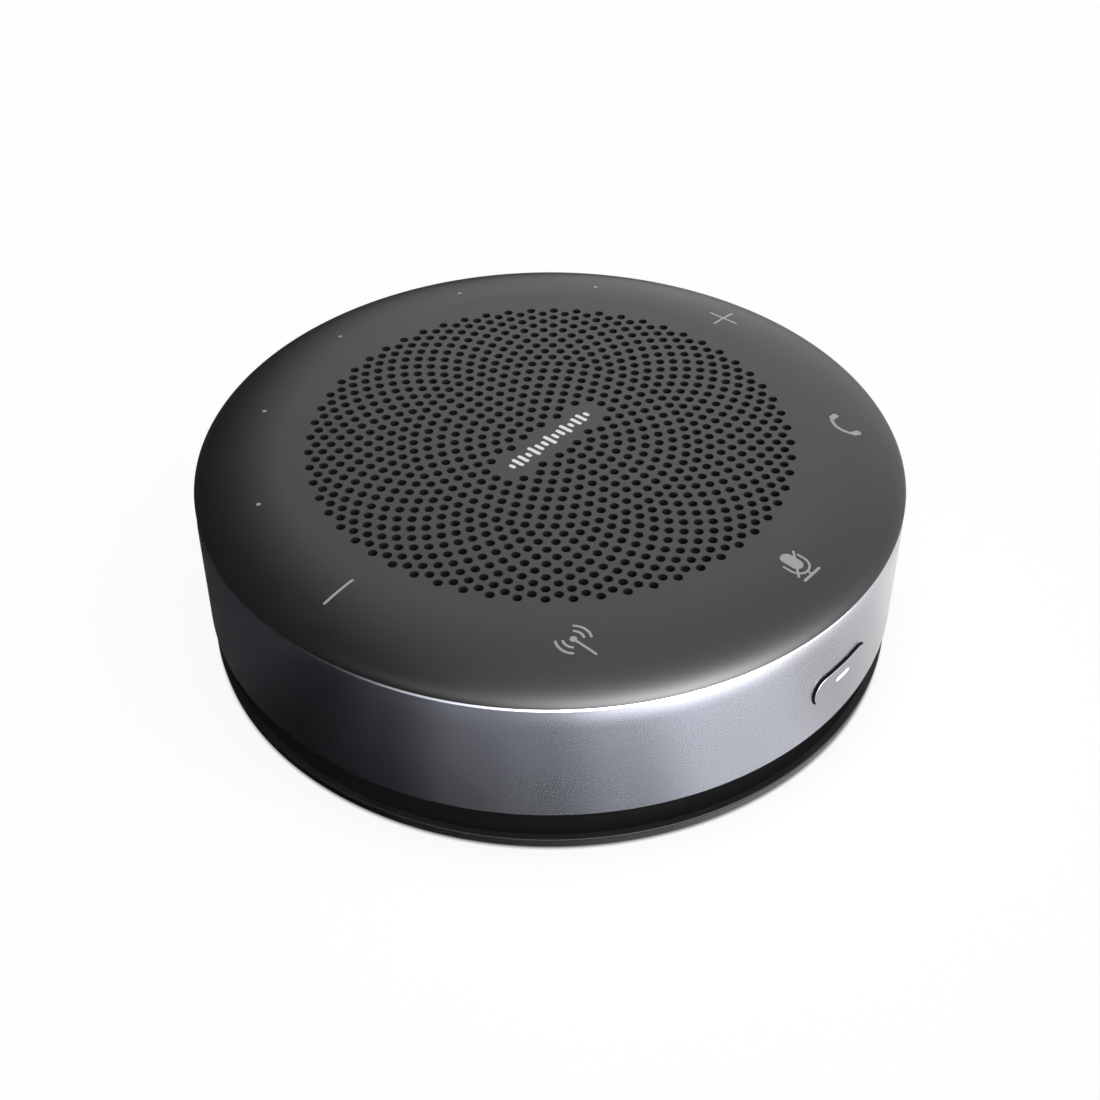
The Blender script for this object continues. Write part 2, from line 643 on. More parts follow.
FINISHES = {
    # outside
    "cover_plastic": dict(colour=(0.0125, 0.0125, 0.013), rough=0.32, grain=2600,
                          grain_bump=0.012, mottle=0.03, rough_var=0.012, spec=0.5),
    "band_metal": dict(colour=(0.495, 0.512, 0.590), rough=0.26, metallic=1.0, grain=2600,
                       grain_bump=0.0, mottle=0.006, mottle_scale=40.0, rough_var=0.0),
    "shell_black": dict(colour=(0.007, 0.007, 0.0075), rough=0.50, grain=5200,
                        grain_bump=0.3, mottle=0.10, rough_var=0.05, spec=0.35),
    "recess_black": dict(colour=(0.0065, 0.0065, 0.0065), rough=0.75, grain=5200,
                         grain_bump=0.1, mottle=0.08, rough_var=0.03, spec=0.06),
    "rim_satin": dict(colour=(0.125, 0.125, 0.128), rough=0.34, metallic=1.0, grain=5200,
                      grain_bump=0.01, mottle=0.04, rough_var=0.02),
    "bore_black": dict(colour=(0.006, 0.006, 0.006), rough=0.7, grain=6000,
                       grain_bump=0.02, mottle=0.1, spec=0.15),
    "rubber_black": dict(colour=(0.010, 0.010, 0.010), rough=0.78, grain=4200,
                         grain_bump=0.3, mottle=0.12, spec=0.3),
    "mark_grey": dict(colour=(0.40, 0.41, 0.42), rough=0.40, grain=8000,
                      grain_bump=0.06, mottle=0.04, spec=0.4),
    "mark_white": dict(colour=(0.88, 0.88, 0.88), rough=0.45, grain=8000,
                       grain_bump=0.06, mottle=0.02, spec=0.4),
    "light_pipe": dict(colour=(0.90, 0.90, 0.90), rough=0.20, grain=8000,
                       grain_bump=0.04, mottle=0.02, glow=0.9, coat=0.3),
    # inside
    "mesh_black": dict(colour=(0.028, 0.028, 0.028), rough=0.85, grain=9000,
                       grain_bump=0.1, mottle=0.15, spec=0.15,
                       pattern=weave, scale=1400, dark=0.6, relief=0.4),
    "board_green": dict(colour=(0.012, 0.060, 0.027), rough=0.30, grain=5000,
                        grain_bump=0.06, mottle=0.10, mottle_scale=600, coat=0.5,
                        pattern=weave, scale=520, dark=0.22, relief=0.05),
    "led_body": dict(colour=(0.85, 0.80, 0.62), rough=0.22, grain=6000,
                     grain_bump=0.08, mottle=0.06, coat=0.4),
    "mic_can": dict(colour=(0.78, 0.60, 0.28), rough=0.28, metallic=1.0, grain=5000,
                    grain_bump=0.1, mottle=0.06,
                    pattern=brush, scale=900, dark=0.2, relief=0.05),
    "silicone": dict(colour=(0.016, 0.016, 0.017), rough=0.55, grain=3800,
                     grain_bump=0.2, mottle=0.08, sheen=0.15, spec=0.4),
    "chamber_plastic": dict(colour=(0.014, 0.014, 0.016), rough=0.5, grain=3600,
                            grain_bump=0.5, mottle=0.10,
                            pattern=fibres, scale=1500, dark=0.3, relief=0.12),
    "foam": dict(colour=(0.012, 0.012, 0.012), rough=0.95, grain=4000,
                 grain_bump=0.8, mottle=0.2, spec=0.15,
                 pattern=cells, scale=2600, dark=0.7, relief=0.8),
    "basket_steel": dict(colour=(0.030, 0.031, 0.034), rough=0.38, metallic=0.4, grain=3000,
                         grain_bump=0.4, mottle=0.08),
    "cone_paper": dict(colour=(0.016, 0.016, 0.0165), rough=0.75, grain=2600,
                       grain_bump=0.6, mottle=0.18, spec=0.25,
                       pattern=fibres, scale=900, dark=0.5, relief=0.5),
    "former": dict(colour=(0.42, 0.26, 0.11), rough=0.6, grain=3000,
                   grain_bump=0.3, mottle=0.12,
                   pattern=fibres, scale=1200, dark=0.3, relief=0.3),
    "copper_wire": dict(colour=(0.72, 0.26, 0.09), rough=0.28, metallic=1.0, grain=3000,
                        grain_bump=0.1, mottle=0.06,
                        pattern=turns, scale=1400, dark=0.7, relief=0.9),
    "spider_cloth": dict(colour=(0.50, 0.33, 0.12), rough=0.7, grain=4000,
                         grain_bump=0.4, mottle=0.12, sheen=0.2,
                         pattern=weave, scale=700, dark=0.6, relief=0.7),
    "plated_steel": dict(colour=(0.62, 0.64, 0.66), rough=0.30, metallic=1.0, grain=2600,
                         grain_bump=0.2, mottle=0.06,
                         pattern=rings, scale=500, dark=0.15, relief=0.08),
    "magnet": dict(colour=(0.66, 0.66, 0.67), rough=0.16, metallic=1.0, grain=2600,
                   grain_bump=0.1, mottle=0.05),
    "terminal": dict(colour=(0.24, 0.13, 0.04), rough=0.5, grain=2600,
                     grain_bump=0.3, mottle=0.15,
                     pattern=fibres, scale=1200, dark=0.3, relief=0.3),
    "shield": dict(colour=(0.72, 0.73, 0.74), rough=0.26, metallic=1.0, grain=3600,
                   grain_bump=0.1, mottle=0.04,
                   pattern=brush, scale=500, dark=0.12, relief=0.06),
    "chip_black": dict(colour=(0.011, 0.011, 0.012), rough=0.45, grain=5200,
                       grain_bump=0.5, mottle=0.12),
    "connector_nylon": dict(colour=(0.74, 0.70, 0.58), rough=0.42, grain=3600,
                            grain_bump=0.2, mottle=0.04, subsurface=0.1),
    "port_steel": dict(colour=(0.66, 0.67, 0.69), rough=0.24, metallic=1.0, grain=4200,
                       grain_bump=0.1, mottle=0.04,
                       pattern=brush, scale=600, dark=0.12, relief=0.05),
    "jack_black": dict(colour=(0.010, 0.010, 0.011), rough=0.4, grain=4200,
                       grain_bump=0.2, mottle=0.08),
    "switch_cream": dict(colour=(0.66, 0.61, 0.47), rough=0.42, grain=3600,
                         grain_bump=0.2, mottle=0.05),
    "cell_foil": dict(colour=(0.60, 0.62, 0.65), rough=0.34, metallic=0.9, grain=1800,
                      grain_bump=0.4, mottle=0.05, mottle_scale=120),
    "lead_red": dict(colour=(0.32, 0.018, 0.016), rough=0.32, grain=3000,
                     grain_bump=0.1, mottle=0.06, coat=0.3),
    "ribbon": dict(colour=(0.66, 0.66, 0.62), rough=0.3, grain=3000,
                   grain_bump=0.1, mottle=0.04,
                   pattern=turns, scale=500, dark=0.2, relief=0.2),
    "screw_steel": dict(colour=(0.56, 0.57, 0.58), rough=0.30, metallic=1.0, grain=3600,
                        grain_bump=0.2, mottle=0.06,
                        pattern=rings, scale=900, dark=0.2, relief=0.1),
}
MATERIALS = {name: material(name, **finish) for name, finish in FINISHES.items()}


# ------------------------------------------------------------------ cover and its marks
SKIN_R = 58.75                           # the triangulated top ends here, the lathe goes on
MARK_DEPTH = 0.6
RIM_ROUNDING = 0.16
COVER_BOSSES = [                         # circle radius, angles, bore, radius, below z0, below z1
    (POST_R, POST_ANGLES, 1.27, 3.0, 8.95, 2.6),
    (48.4, (30, 150, 210, 330), 0.95, 2.2, 5.6, 1.3),
    (50, (18, 75, 105, 162, 247.5, 292.5), 0.85, 1.85, 3.1, 1.4),
]
GUIDE_Z0, GUIDE_Z1 = TOP - 2.5, TOP - 1.9   # discs under the cover that carry the marks


def roll_point(t):
    """Point (r, z) of the cover's rolled edge; t is 0 at the flat."""
    return (FLAT_R + ROLL_R * math.sin(t), TOP - ROLL_H + ROLL_H * math.cos(t))


def roll_normal(t):
    return unit(ROLL_H * math.sin(t), ROLL_R * math.cos(t))


def cover_height(r):
    s = np.clip((r - FLAT_R) / ROLL_R, 0, 1)
    return np.where(r <= FLAT_R, TOP, TOP - ROLL_H + ROLL_H * np.sqrt(1 - s * s))


def cover_normals(x, y):
    r = np.hypot(x, y)
    t = np.arcsin(np.clip((r - FLAT_R) / ROLL_R, 0, 0.99999))
    nr, nz = ROLL_H * np.sin(t), ROLL_R * np.cos(t)
    size = np.hypot(nr, nz)
    nr, nz = nr / size, nz / size
    return np.stack([nr * x / r, nr * y / r, nz], -1)


def mark_polygons():
    placed = {key: [p + polar(MARK_R, angle) for p in polygons]
              for key, (angle, polygons) in MARKS.items()}
    placed["dots"] = [disc(*polar(MARK_R, angle), 0.4, 24) for angle in DOT_ANGLES]
    return placed


def cover_skin():
    """Surface points, their normals, all triangles, and the triangles of each mark."""
    plan = Plan()
    marks = mark_polygons()
    for polygons in marks.values():
        for polygon in polygons:
            plan.loop(polygon)
    tree = point_tree(plan.points)
    radii = [GRILLE_R, 47.5, FLAT_R] + list(np.linspace(FLAT_R, SKIN_R, 15)[1:])
    for k, radius in enumerate(radii):
        ring = column_ring(radius)
        if k in (0, len(radii) - 1):
            plan.loop(ring)
        else:
            plan.points += [(x, y) for x, y in ring if tree.find((x, y, 0))[2] > 0.14]
    verts, tris = plan.triangulate()
    centres = verts[tris].mean(1)
    outside = np.hypot(centres[:, 0], centres[:, 1]) > GRILLE_R * math.cos(math.pi / COLUMNS) - 1e-6
    tris, centres = tris[outside], centres[outside]
    in_mark = {key: inside_any(polygons, centres) for key, polygons in marks.items()}
    surface = np.column_stack([verts, cover_height(np.hypot(verts[:, 0], verts[:, 1]))])
    return surface, cover_normals(verts[:, 0], verts[:, 1]), tris, in_mark


def cover_profile():
    """Rolled edge, rounded rim, then the inside up to the grille opening."""
    steps = 26
    start = math.asin((SKIN_R - FLAT_R) / ROLL_R)
    params = [start + (ROLL_END - start) * i / steps for i in range(steps + 1)]
    roll = [(roll_point(t), roll_normal(t)) for t in params]
    roll[0] = ((SKIN_R, float(cover_height(np.array(SKIN_R)))), roll[0][1])
    segments = [(roll[i], roll[i - 1]) for i in range(steps, 0, -1)]

    rim, rim_normal = roll[-1]
    rim_angle = math.atan2(rim_normal[1], rim_normal[0])
    cx = rim[0] - RIM_ROUNDING * math.cos(rim_angle)
    cz = rim[1] - RIM_ROUNDING * math.sin(rim_angle)
    arc = []
    for i in range(6):
        t = -math.pi / 2 + (rim_angle + math.pi / 2) * i / 5
        c, s = math.cos(t), math.sin(t)
        arc.append(((cx + RIM_ROUNDING * c, cz + RIM_ROUNDING * s), (c, s)))
    rim_bottom = arc[0][0]
    arc[-1] = (rim, rim_normal)
    segments += zip(arc[:-1], arc[1:])

    lip_r, ceiling = GRILLE_R - 0.75, TOP - 2.1
    skirt_r, skirt_z = BAND_IN_R - 0.3, TOP - 7.8
    path = [(GRILLE_R, TOP), (GRILLE_R, GRILLE_Z0), (lip_r, GRILLE_Z0), (lip_r, ceiling),
            (46.6, ceiling)]
    for i in range(15):
        t = math.radians(90 * i / 14)
        path.append((48 + 13.7 * math.sin(t), TOP - 5.4 + 3.8 * math.cos(t)))
    path += [(61.7, skirt_z), (skirt_r, skirt_z), (skirt_r, rim_bottom[1]), rim_bottom]
    return segments + [straight(p, q) for p, q in zip(path[:-1], path[1:])]


def build_cover(surface, normals, tris, in_mark):
    shape = Shape()
    taken = np.any(list(in_mark.values()), axis=0)
    shape.add(surface, tris[~taken], normals[tris[~taken]])
    pocket(shape, surface, normals, tris[taken], MARK_DEPTH)
    lathe(shape, cover_profile())
    for radius, angles, bore, outer, below0, below1 in COVER_BOSSES:
        for angle in angles:
            tube(shape, polar(radius, angle), bore, outer, TOP - below0, TOP - below1)
    piece("cover_shell", shape, ["cover_plastic"], ["top_cover"])


def build_marks(surface, normals, tris, in_mark):
    """Inlays flush with the cover, each with the disc that carries it."""
    for key, mask in in_mark.items():
        shape = Shape()
        inlay(shape, surface, normals, tris[mask], MARK_DEPTH)
        if key == "dots":
            replaced = "status_light_guides"
            for angle in DOT_ANGLES:
                centre = polar(MARK_R, angle)
                tube(shape, centre, 0, 1.5, GUIDE_Z0, GUIDE_Z1, 32, 0.08)
                tube(shape, centre, 0, 0.38, TOP - 1.95, TOP - 1.0, 24, 0.02)
        else:
            replaced = key + "_light_guide"
            tube(shape, polar(MARK_R, MARKS[key][0]), 0, 4.45, GUIDE_Z0, GUIDE_Z1, 64, 0.1)
        piece("mark_" + key, shape, ["mark_grey"], [replaced])


# ------------------------------------------------------------------ grille
HOLE_PITCH = 2.5
HOLE_R = 0.825
HOLE_STEPS = 20
HOLE_LIP = 0.035                         # width and depth of the bevel round a hole
EVEN_RINGS, ALL_RINGS = 10, 21           # rings at an even pitch, and all rings
BAR_DEPTH = 0.4


def grille_holes():
    """Rings of 6, 12, 18 ... 60 holes, then staggered rings of 60, less the middle."""
    spacing = 1.0296 * HOLE_PITCH        # between neighbours in two staggered rings
    stagger = math.radians(3)
    holes = []
    for k in range(1, ALL_RINGS + 1):
        if k <= EVEN_RINGS:
            radius = k * HOLE_PITCH
            n = 6 * k
        else:
            radius = (radius * math.cos(stagger)
                      + math.sqrt(spacing**2 - (radius * math.sin(stagger)) ** 2))
            n = 60
        start = 93 if k > EVEN_RINGS and k % 2 == 1 else 90
        for i in range(n):
            x, y = polar(radius, start + i * 360 / n)
            if not (abs(x) < 13.6 and abs(y) < 3):
                holes.append((x, y))
    return np.array(holes)


def wave_bars():
    """Fifteen upright bars whose heights follow a cosine."""
    width, pitch = 0.8, 1.5
    bars = []
    for i in range(-7, 8):
        height = 2.3 + 0.9 * math.cos(math.radians(130 * abs(i)))
        half = (height - width) / 2
        bars.append(stroke((i * pitch, -half), (i * pitch, half), width, 12))
    return bars


def grille_bores(shape, holes, lip_r):
    """Bevel and bore of every hole."""
    total = len(holes) * HOLE_STEPS
    outer = np.concatenate([disc(x, y, lip_r, HOLE_STEPS) for x, y in holes])
    inner = np.concatenate([disc(x, y, HOLE_R, HOLE_STEPS) for x, y in holes])
    rows = np.concatenate([
        np.column_stack([outer, np.full(total, TOP)]),
        np.column_stack([inner, np.full(total, TOP - HOLE_LIP)]),
        np.column_stack([inner, np.full(total, GRILLE_Z0)])])
    directions = np.tile(disc(0, 0, 1, HOLE_STEPS), (len(holes), 1))
    up = np.column_stack([np.zeros((total, 2)), np.ones(total)])
    inward = np.column_stack([-directions, np.zeros(total)])
    i = np.arange(total)
    j = (i // HOLE_STEPS) * HOLE_STEPS + (i + 1) % HOLE_STEPS
    faces = np.stack([i, j, j + total, i + total], 1)
    for level, upper in enumerate((up, inward)):
        shape.add(rows, faces + level * total,
                  np.stack([upper[i], upper[j], inward[j], inward[i]], 1), 1)


def build_grille():
    holes, bars = grille_holes(), wave_bars()
    lip_r = HOLE_R + HOLE_LIP
    plan = Plan()
    plan.loop(column_ring(GRILLE_R))
    for x, y in holes:
        plan.loop(disc(x, y, lip_r, HOLE_STEPS))
    for bar in bars:
        plan.loop(bar)
    verts, tris = plan.triangulate()
    tree = point_tree(holes)
    _, gap = nearest(tree, verts[tris].mean(1))
    tris = tris[gap > lip_r * math.cos(math.pi / HOLE_STEPS) * 0.995]
    in_bar = inside_any(bars, verts[tris].mean(1))
    surface = np.column_stack([verts, np.full(len(verts), TOP)])
    normals = np.tile([0.0, 0.0, 1.0], (len(verts), 1))

    shape = Shape()
    shape.add(surface, tris[~in_bar], normals[tris[~in_bar]])
    # the underside has the same triangles, with the hole rims drawn in to the bore
    index, gap = nearest(tree, verts)
    on_rim = np.abs(gap - lip_r) < 1e-3
    centre = holes[index[on_rim]]
    under = verts.copy()
    under[on_rim] = centre + (verts[on_rim] - centre) * (HOLE_R / lip_r)
    under = np.column_stack([under, np.full(len(verts), GRILLE_Z0)])
    shape.add(under, tris[:, ::-1], -normals[tris])
    grille_bores(shape, holes, lip_r)
    lathe(shape, [straight((GRILLE_R, GRILLE_Z0), (GRILLE_R, TOP))])
    pocket(shape, surface, normals, tris[in_bar], BAR_DEPTH)
    piece("grille_plate", shape, ["cover_plastic", "bore_black"], ["speaker_grille"])

    marking = Shape()
    inlay(marking, surface, normals, tris[in_bar], BAR_DEPTH)
    piece("wave_marking", marking, ["mark_white"], ["sound_wave_inlay"])


# ------------------------------------------------------------------ cylinders with slots
class Slot:
    """A round-ended slot through an upright cylinder, cut straight in at one angle."""

    def __init__(self, degrees, z, length, height, end_steps, side_steps):
        self.angle, self.z = math.radians(degrees), z
        self.length, self.height = length, height
        self.end_steps, self.side_steps = end_steps, side_steps

    def flat_outline(self, grow):
        """Anticlockwise points and outward normals in the slot's own plane."""
        radius = self.height / 2 + grow
        centre = (self.length - self.height) / 2
        points, normals = [], []
        for side, start in ((1, -90), (-1, 90)):
            for i in range(self.end_steps + 1):
                t = math.radians(start + 180 * i / self.end_steps)
                points.append((side * centre + radius * math.cos(t), radius * math.sin(t)))
                normals.append((math.cos(t), math.sin(t)))
            if centre > 1e-6:
                for i in range(1, self.side_steps):
                    x = side * centre - side * 2 * centre * i / self.side_steps
                    points.append((x, side * radius))
                    normals.append((0.0, float(side)))
        return np.array(points), np.array(normals)

    def unrolled(self, radius, grow=0.0):
        """The outline on a cylinder as (distance round it, z)."""
        points, _ = self.flat_outline(grow)
        angles = self.angle + np.arcsin(points[:, 0] / radius)
        return np.stack([angles * radius, self.z + points[:, 1]], 1)

    def ring(self, radius, grow=0.0):
        """Points on a cylinder, normals away from the slot, and radial normals."""
        points, flat = self.flat_outline(grow)
        angles = self.angle + np.arcsin(points[:, 0] / radius)
        c, s = np.cos(angles), np.sin(angles)
        position = np.stack([radius * c, radius * s, self.z + points[:, 1]], 1)
        tx, ty = -math.sin(self.angle), math.cos(self.angle)
        away = np.stack([flat[:, 0] * tx, flat[:, 0] * ty, flat[:, 1]], 1)
        return position, away, np.stack([c, s, np.zeros(len(c))], 1)


def button_slot(extra):
    """The button's outline with this much added to its length and height."""
    return Slot(-90, BUTTON_Z, BUTTON_L + extra, BUTTON_H + extra, 24, 16)


USB_SLOT = Slot(90, SOCKET_Z, 9.4, 3.6, 20, 10)
JACK_SLOT = Slot(72, SOCKET_Z, 5.6, 5.6, 22, 2)


def roll_up(shape, radius, flat, tris, outward):
    """Adds triangles drawn as (distance round, z) on a cylinder."""
    angles = flat[:, 0] / radius
    c, s = np.cos(angles), np.sin(angles)
    seam = np.abs(flat[:, 0] - math.pi * radius) < 1e-9
    c[seam], s[seam] = math.cos(-math.pi), math.sin(-math.pi)
    verts = np.stack([radius * c, radius * s, flat[:, 1]], 1)
    normals = np.stack([c, s, np.zeros(len(c))], 1)
    if not outward:
        tris, normals = tris[:, ::-1], -normals
    shape.add(verts, tris, normals[tris])


def clearance(loop, point):
    return np.min(np.hypot(loop[:, 0] - point[0], loop[:, 1] - point[1]))


def slotted_wall(shape, radius, z0, z1, slots, grow, outward):
    """A full cylinder wall with slots, each grown by grow, left open."""
    angles = columns()
    plan = Plan()
    levels = np.linspace(z0, z1, max(2, int((z1 - z0) / 4.0) + 2))
    for z in (levels[0], levels[-1]):
        plan.line([(t * radius, z) for t in angles])
    loops = [slot.unrolled(radius, grow) for slot in slots]
    for loop in loops:
        plan.loop(loop)
    for z in levels[1:-1]:
        for t in angles:
            point = (t * radius, z)
            if all(clearance(loop, point) >= 0.25 for loop in loops):
                plan.points.append(point)
    flat, tris = plan.triangulate()
    roll_up(shape, radius, flat, tris[~inside_any(loops, flat[tris].mean(1))], outward)


def cut_walls(shape, segments, slots, min_height, split_r, grow=0.0):
    """Makes the upright walls above a height with slots; returns the other segments.

    Walls beyond split_r face outwards and have their slots grown.
    """
    rest = []
    for segment in segments:
        (r0, z0), (r1, z1) = segment[0][0], segment[1][0]
        if abs(r0 - r1) < 1e-9 and abs(z1 - z0) > min_height:
            outward = r0 > split_r
            slotted_wall(shape, r0, min(z0, z1), max(z0, z1), slots,
                         grow if outward else 0.0, outward)
        else:
            rest.append(segment)
    return rest


def hole_strip(shape, ring0, ring1, normals0, normals1, slot=0):
    """Quads between two rings that line a hole."""
    n = len(ring0)
    i = np.arange(n)
    j = (i + 1) % n
    shape.add(np.concatenate([ring0, ring1]), np.stack([i, i + n, j + n, j], 1),
              np.stack([normals0[i], normals1[i], normals1[j], normals0[j]], 1), slot)


def rim_strips(shape, rings, slot=0):
    """Quads between successive (points, normals) rings round a solid."""
    n = len(rings[0][0])
    i = np.arange(n)
    j = (i + 1) % n
    for (p0, n0), (p1, n1) in zip(rings[:-1], rings[1:]):
        shape.add(np.concatenate([p0, p1]), np.stack([i + n, j + n, j, i], 1),
                  np.stack([n1[i], n1[j], n0[j], n0[i]], 1), slot)


def slot_lining(shape, slot, r_out, r_in, rounding, steps=5, wall_slot=0):
    """The rounded outer edge of a slot and its wall down to r_in."""
    rings = []
    for i in range(steps + 1):
        t = math.pi / 2 * i / steps
        position, away, radial = slot.ring(r_out - rounding * (1 - math.cos(t)),
                                           rounding * (1 - math.sin(t)))
        rings.append((position, radial * math.cos(t) - away * math.sin(t)))
    for (p0, n0), (p1, n1) in zip(rings[:-1], rings[1:]):
        hole_strip(shape, p0, p1, n0, n1)
    position, away, _ = slot.ring(r_in)
    hole_strip(shape, rings[-1][0], position, -away, -away, wall_slot)


def cylinder_patch(shape, radius, outer, hole, outward=True):
    """The part of a cylinder between two unrolled outlines, on a 0.8 mm grid."""
    step = 0.8
    plan = Plan()
    for loop in (outer, hole):
        plan.loop(loop)
    low, high = outer.min(0), outer.max(0)
    for x in np.arange(low[0] + step / 2, high[0], step):
        for y in np.arange(low[1] + step / 2, high[1], step):
            clear = all(clearance(loop, (x, y)) > step * 0.35 for loop in (outer, hole))
            if clear and inside(outer, np.array([[x, y]]))[0]:
                plan.points.append((x, y))
    flat, tris = plan.triangulate()
    centres = flat[tris].mean(1)
    roll_up(shape, radius, flat, tris[inside(outer, centres) & ~inside(hole, centres)], outward)


# ------------------------------------------------------------------ band
def build_band():
    slots = [button_slot(0.4), USB_SLOT, JACK_SLOT]
    edge = 0.03                          # rounding of the slots
    bevel = 0.34
    # the wall leans in on a large arc near its top, then a small bevel meets the cover
    lean_z, lean = BAND_Z1 - 4.2, 0.26
    rise = BAND_Z1 - bevel - lean_z
    arc_r = (rise * rise + lean * lean) / (2 * lean)
    arc = []
    for i in range(9):
        t = math.asin(rise / arc_r) * i / 8
        c, s = math.cos(t), math.sin(t)
        arc.append(((BAND_R - arc_r * (1 - c), lean_z + arc_r * s), (c, s)))
    arc_top = arc[-1][0]
    profile = [                          # r, z, fillet radius
        (BAND_IN_R, BAND_Z0, 0.05),
        (BAND_R, BAND_Z0, 0.16),
        (BAND_R, lean_z, 0),
        (*arc_top, 0),
        (arc_top[0] - bevel, BAND_Z1, 0.10),
        (BAND_IN_R, BAND_Z1, 0.05),
    ]
    segments = []
    for segment in outline(profile):
        z0, z1 = segment[0][0][1], segment[1][0][1]
        if abs(z0 - lean_z) < 1e-9 and abs(z1 - arc_top[1]) < 1e-9:
            segments += zip(arc[:-1], arc[1:])
        else:
            segments.append(segment)
    shape = Shape()
    lathe(shape, cut_walls(shape, segments, slots, 10, BAND_IN_R + 0.5, edge))
    for i, slot in enumerate(slots):
        slot_lining(shape, slot, BAND_R, BAND_IN_R, edge, wall_slot=1 if i == 0 else 0)
    piece("band", shape, ["band_metal", "recess_black"], ["side_band"])


# ------------------------------------------------------------------ power button
def build_button():
    """A curved face with a light window, and a wider flange behind the band."""
    shape = Shape()
    face, flange = button_slot(-0.10), button_slot(2.3)
    window = Slot(-90, BUTTON_Z + 0.1, 3.96, 0.98, 12, 6)
    rounding, window_rounding, steps = 0.07, 0.05, 6
    flange_r, back_r = BAND_IN_R - 0.2, BAND_IN_R - 1.3
    cylinder_patch(shape, BUTTON_R, face.unrolled(BUTTON_R, -rounding),
                   window.unrolled(BUTTON_R, window_rounding))
    rings = []
    for i in range(steps + 1):
        t = math.pi / 2 * i / steps
        position, away, radial = face.ring(BUTTON_R - rounding * (1 - math.cos(t)),
                                           -rounding * (1 - math.sin(t)))
        rings.append((position, radial * math.cos(t) + away * math.sin(t)))
    rim_strips(shape, rings)
    front, away, _ = face.ring(BUTTON_R - rounding)
    rim_strips(shape, [(front, away), (face.ring(flange_r)[0], away)], 1)
    cylinder_patch(shape, flange_r, flange.unrolled(flange_r), face.unrolled(flange_r))
    front, away, _ = flange.ring(flange_r)
    rim_strips(shape, [(front, away), (flange.ring(back_r)[0], away)])
    cylinder_patch(shape, back_r, flange.unrolled(back_r), window.unrolled(back_r),
                   outward=False)
    slot_lining(shape, window, BUTTON_R, back_r, window_rounding, 3)
    piece("button", shape, ["band_metal", "recess_black"], ["power_button"], "power_button")


# ------------------------------------------------------------------ base
COVE_R = 3.3                             # concave quarter round under the band
COVE_X, COVE_Z = 63.6, 5.7               # its centre
BASE_IN_R = 61.9


def base_profile():
    foot_r = BAND_R - 0.3
    cove = [(COVE_X + COVE_R * math.cos(math.radians(t)),
             COVE_Z + COVE_R * math.sin(math.radians(t)), 0) for t in range(270, 179, -5)]
    return [                             # r, z, fillet radius
        (58.8, 1.35, 0), (62.2, 1.35, 0.05), (62.2, 2.05, 0.05),
        (foot_r, 2.05, 0.06), (foot_r, 2.4, 0.14), *cove,
        (60.3, 8.5, 0.05), (64.3, 8.5, 0.05), (64.3, 8.9, 0.05), (BASE_R, 8.9, 0),
        (BASE_R, TOP - 8.2, 0.1), (BASE_IN_R, TOP - 8.2, 0.1),
        (BASE_IN_R, 10.6, 0.2), (58.8, 10.6, 0.2),
    ]


def on_cove(point):
    r, z = point
    return (abs(math.hypot(r - COVE_X, z - COVE_Z) - COVE_R) < 1e-6
            and r <= COVE_X + 1e-9 and z <= COVE_Z + 1e-9)


def smooth_cove(segment):
    """Gives the cove's segments the normals of the true arc."""
    if not all(on_cove(point) for point, _ in segment):
        return segment
    return tuple((point, unit(COVE_X - point[0], COVE_Z - point[1])) for point, _ in segment)


def in_recess(segment):
    (r0, z0), (r1, z1) = segment[0][0], segment[1][0]
    return 60.0 < min(r0, r1) < 63.59 and 2.39 < z0 < 8.6 and z1 < 8.6


def build_base():
    shape = Shape()
    slots = [button_slot(3), USB_SLOT, JACK_SLOT]
    segments = [smooth_cove(s) for s in outline(base_profile())]
    segments = cut_walls(shape, segments, slots, 12, 62.5)
    lathe(shape, [s for s in segments if not in_recess(s)])
    lathe(shape, [s for s in segments if in_recess(s)], slot=1)
    for slot in slots:
        slot_lining(shape, slot, BASE_R, BASE_IN_R, 0.0, 1)
    floor_z = 2.65
    post_top = TOP - 9
    post = outline([                     # r, z, fillet radius
        (2.6, floor_z, 0), (3.5, floor_z, 0.1), (3.5, post_top, 0.15),
        (1.4, post_top, 0.1), (1.4, 21.0, 0), (2.6, 21.0, 0)])
    for angle in POST_ANGLES:
        lathe(shape, post, 40, centre=polar(POST_R, angle))
        rib(shape, angle, 58.6, 62.4, 10.2, post_top)
        rib(shape, angle, 58.6, 59.6, floor_z, 10.4)
    for angle in SCREW_ANGLES:
        tube(shape, polar(SCREW_R, angle), 1.27, 2.8, floor_z, 10)
        rib(shape, angle, 56.2, 59.4, floor_z, 9.4)
    for angle in (20, 160, 240, 300):
        tube(shape, polar(54.6, angle), 0.97, 2.8, 5, 15.8)
        rib(shape, angle, 57.2, 59.4, 5, 10)
        rib(shape, angle, 57.2, 62.3, 9.9, 15)
    piece("base", shape, ["shell_black", "recess_black"], ["base_shell"])


# ------------------------------------------------------------------ bottom plate and foot
UNDER_Z = 0.8
GROOVE_Z = 1.5                           # floor of the groove that holds the foot ring
GROOVE_R0, GROOVE_R1 = 50.0, 57.0
PLATE_R = 58.6                           # upper part of the plate
HEAD_R, SHANK_R = 2.3, 1.35              # screw holes, below and above
SCREW_STEPS = 32


